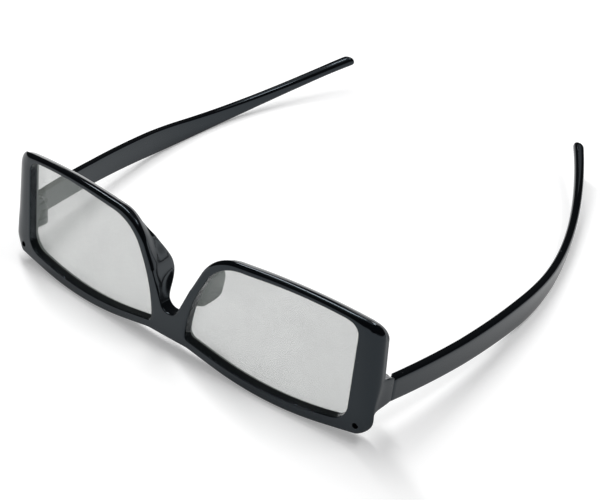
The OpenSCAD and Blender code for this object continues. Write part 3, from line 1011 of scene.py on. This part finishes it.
def drawn_steel():
    """Drawn steel of the hinge pins, with fine lines along the pin."""
    finish = Finish("drawn_steel")
    stretched = finish.node("ShaderNodeMapping", {}, {
        "Vector": finish.place, "Scale": LINE_STRETCH,
    })
    lines = finish.node("ShaderNodeTexNoise", {}, {
        "Vector": stretched, "Scale": LINE_SCALE, "Detail": 2.0,
    })
    return finish.shade(
        Base_Color=finish.mixed(lines, STEEL_DARK, STEEL_PALE),
        Roughness=finish.ranged(lines, *LINE_SPAN, *STEEL_ROUGH),
        Metallic=1.0,
    )


def coat(piece, material):
    piece.data.materials.clear()
    piece.data.materials.append(material)


black = gloss_black()
steel = drawn_steel()

# Films: name, colour, alpha and painted glow
clear_film = film("clear_film", (0.4, 0.42, 0.4, 1), 0.03)
# the grey film carries a faint painted glow, an emission that stands for light scattered in the lens
grey_film = film("grey_film", (0.12, 0.13, 0.125, 1), 0.285, 0.2)
clear_sheet = film("clear_sheet", (0.3, 0.32, 0.3, 1), 0.07)

# Lens layers from the front: piece, solid, slot, thickness and film
layers = [
    ("quarter_wave_film", "retarder_film", "retarder", RETARDER_T, clear_film),
    ("polarising_film", "polariser_film", "polariser", POLARISER_T, grey_film),
    ("carrier_sheet", "lens_sheet", "carrier", SHEET_T, clear_sheet),
]


def dress(piece, body, slot, material, *nodes):
    """Puts a finished piece on its body, in the place of its solids."""
    coat(piece, material)
    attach(piece, body)
    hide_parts(*nodes)


dress(front_moulding(), "front", "frame_plastic", black, "front_frame")
right_temple = temple_moulding("right_temple_moulding")
dress(on_left(right_temple, "left_temple_moulding"), "left_arm", "frame_plastic", black, "left_temple")
dress(right_temple, "right_arm", "frame_plastic", black, "right_temple")
depth = GROOVE_FRONT + LENS_PLAY
for name, node, slot, thickness, material in layers:
    layer = lens_layer("right_" + name, depth, thickness)
    dress(on_left(layer, "left_" + name), "front", slot, material, "left_" + node)
    dress(layer, "front", slot, material, "right_" + node)
    depth += thickness
for side in ("left", "right"):
    coat(frame["nodes"][side + "_hinge_pin"], steel)


# Stage, light and camera

FLOOR_SIZE = 6.0
FLOOR_DROP = 0.0001
FLOOR_PALE = (0.8, 0.8, 0.8, 1)
LIFT_NEAR = 0.31
LIFT_FAR = 0.75
LIFT_SPAN = (0.12, 0.4)
ROOM_GREY = (0.05, 0.052, 0.055, 1)
LIGHT_AIM = Vector((0, 0, 0.01))

# Lamps: name, place, width, depth and watts
LAMPS = [
    ("softbox_above", (0, 0.05, 0.75), 0.9, 0.9, 2.0),
    ("strip_left", (-0.2, 0.09, 0.55), 0.07, 0.46, 2.5),
    ("strip_right", (0.31, 0.16, 0.7), 0.3, 0.1, 1.1),
]

# Camera, fitted to the photo
VIEW_TURN = radians(39.22)
VIEW_RISE = radians(36.57)
VIEW_DISTANCE = 0.3971
VIEW_AIM = Vector((0, -0.0404, 0.016))
IMAGE_W = 600
IMAGE_H = 500
FOCAL_PIXELS = 1295.2
AXIS_PIXEL = (251.7, 243.8)
SENSOR_W = 36
CLIP_START = 0.01


def pale_floor():
    """A pale floor, lifted to white for the camera, reflections and glass, that keeps its shadows."""
    finish = Finish("pale_floor")
    nodes, links = finish.nodes, finish.links
    nodes.remove(finish.shader)
    path = nodes.new("ShaderNodeLightPath")
    seen = Wire(finish, path.outputs["Is Camera Ray"])
    for kind in ("Is Glossy Ray", "Is Transmission Ray"):
        seen = seen.math("MAXIMUM", seen, Wire(finish, path.outputs[kind]))
    paint = finish.node("ShaderNodeBsdfDiffuse", {}, {"Color": FLOOR_PALE})
    away = finish.node("ShaderNodeVectorMath", {"operation": "LENGTH"}, {0: finish.place}, "Value")
    far = finish.ranged(away, *LIFT_SPAN, LIFT_NEAR, LIFT_FAR)
    lift = finish.node("ShaderNodeEmission", {}, {"Strength": seen * far})
    both = finish.node("ShaderNodeAddShader", {}, {0: paint, 1: lift})
    links.new(both.socket, nodes["Material Output"].inputs["Surface"])
    return finish.material


def softbox(name, place, width, depth, energy):
    """A soft lamp that faces the glasses."""
    deselect()
    bpy.ops.object.light_add(type="AREA", location=place)
    lamp = bpy.context.object
    lamp.name = name
    lamp.rotation_euler = (Vector(place) - LIGHT_AIM).to_track_quat("Z", "Y").to_euler()
    lamp.data.shape = "RECTANGLE"
    lamp.data.size = width
    lamp.data.size_y = depth
    lamp.data.energy = energy


def set_stage():
    """The floor, the lamps and the room."""
    deselect()
    bpy.ops.mesh.primitive_plane_add(size=FLOOR_SIZE, location=(0, 0, -FLOOR_DROP))
    floor = bpy.context.object
    floor.name = "floor"
    bpy.ops.object.transform_apply(location=True)
    coat(floor, pale_floor())
    for lamp in LAMPS:
        softbox(*lamp)
    world = bpy.data.worlds.new("studio")
    world.use_nodes = True
    world.node_tree.nodes["Background"].inputs["Color"].default_value = ROOM_GREY
    bpy.context.scene.world = world
    bpy.context.scene.view_settings.view_transform = "Standard"


def set_camera():
    """The camera of the photo."""
    deselect()
    bpy.ops.object.camera_add()
    camera = bpy.context.object
    back = Vector((
        sin(VIEW_TURN) * cos(VIEW_RISE),
        -cos(VIEW_TURN) * cos(VIEW_RISE),
        sin(VIEW_RISE),
    ))
    camera.location = VIEW_AIM + back * VIEW_DISTANCE
    camera.rotation_euler = back.to_track_quat("Z", "Y").to_euler()
    camera.data.sensor_width = SENSOR_W
    camera.data.lens = SENSOR_W * FOCAL_PIXELS / IMAGE_W
    camera.data.shift_x = (IMAGE_W / 2 - AXIS_PIXEL[0]) / IMAGE_W
    camera.data.shift_y = (AXIS_PIXEL[1] - IMAGE_H / 2) / IMAGE_W
    camera.data.clip_start = CLIP_START
    bpy.context.scene.camera = camera


set_stage()
set_camera()
